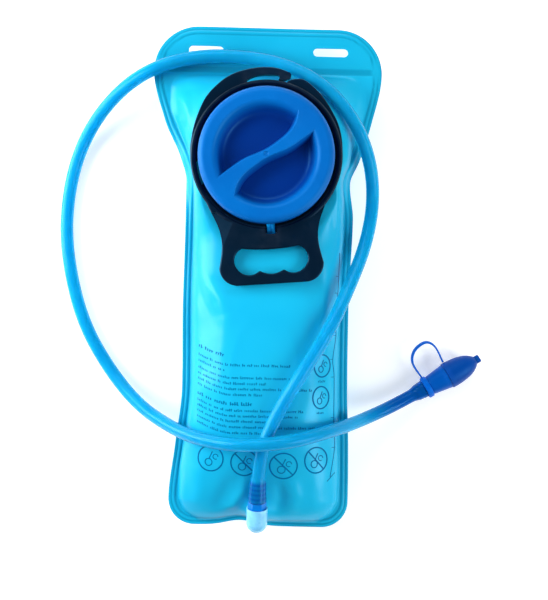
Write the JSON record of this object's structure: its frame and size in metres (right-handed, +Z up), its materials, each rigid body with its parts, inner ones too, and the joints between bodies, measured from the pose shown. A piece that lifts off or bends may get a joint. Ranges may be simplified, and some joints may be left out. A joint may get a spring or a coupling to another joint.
{
  "type": "hydration bladder",
  "caption": "Translucent blue water bag lying flat, with a screw lid in a black ring handle, an outlet elbow and a long drinking hose ending in a bite valve under a dust cap.",
  "frame": {"origin": "on the ground under the middle of the bag, halfway between its outer edges", "axes": "+Y from the outlet end to the hanging tab, +Z up through the lid, +X to the right seen from above with the tab away from the viewer"},
  "size_m": [0.3319, 0.38, 0.0857],
  "materials": {
    "bag_film": "glossy translucent film",
    "neck_plastic": "satin",
    "black_plastic": "satin black moulding",
    "blue_plastic": "soft gloss",
    "silicone": "translucent satin",
    "blue_rubber": "satin",
    "milky_plastic": "milky translucent",
    "connector_plastic": "gloss",
    "black_rubber": "satin",
    "hose_tube": "glossy translucent tube",
    "valve_plastic": "satin",
    "valve_rubber": "satin"
  },
  "bodies": {
    "bag": {"front_film": "bag_film", "back_film": "bag_film", "neck_collar": "neck_plastic", "handle_ring": "black_plastic", "outlet_port": "milky_plastic"},
    "cap_seal": {"cap_gasket": "silicone", "cap_leash": "blue_rubber"},
    "cap": {"screw_cap": "blue_plastic"},
    "hose": {"hose_connector": "connector_plastic", "connector_o_ring": "black_rubber", "drinking_hose": "hose_tube", "valve_body": "valve_plastic", "bite_nozzle": "silicone", "cap_tether": "valve_rubber"},
    "dust_cap": {"dust_cap": "valve_rubber"}
  },
  "joints": [
    {"name": "cap_lift", "type": "slide", "parent": "bag", "child": "cap_seal", "axis": [0, 0, 1], "range_m": [0, 0.00505], "deforming": ["cap_leash"]},
    {"name": "cap_turn", "type": "hinge", "parent": "cap_seal", "child": "cap", "pos_m": [0.0007, 0.088, 0.065], "axis": [0, 0, 1], "range_deg": [0, 450]},
    {"name": "hose_release", "type": "slide", "parent": "bag", "child": "hose", "axis": [0, 0.9703, 0.2419], "range_m": [0, 0.012]},
    {"name": "dust_cap_pull", "type": "slide", "parent": "hose", "child": "dust_cap", "axis": [0.8616, 0.5075, 0], "range_m": [0, 0.024], "deforming": ["cap_tether"]}
  ],
  "couplings": [
    {"joint": "cap_lift", "follows": "cap_turn", "m_per_rad": 0.00063662}
  ]
}
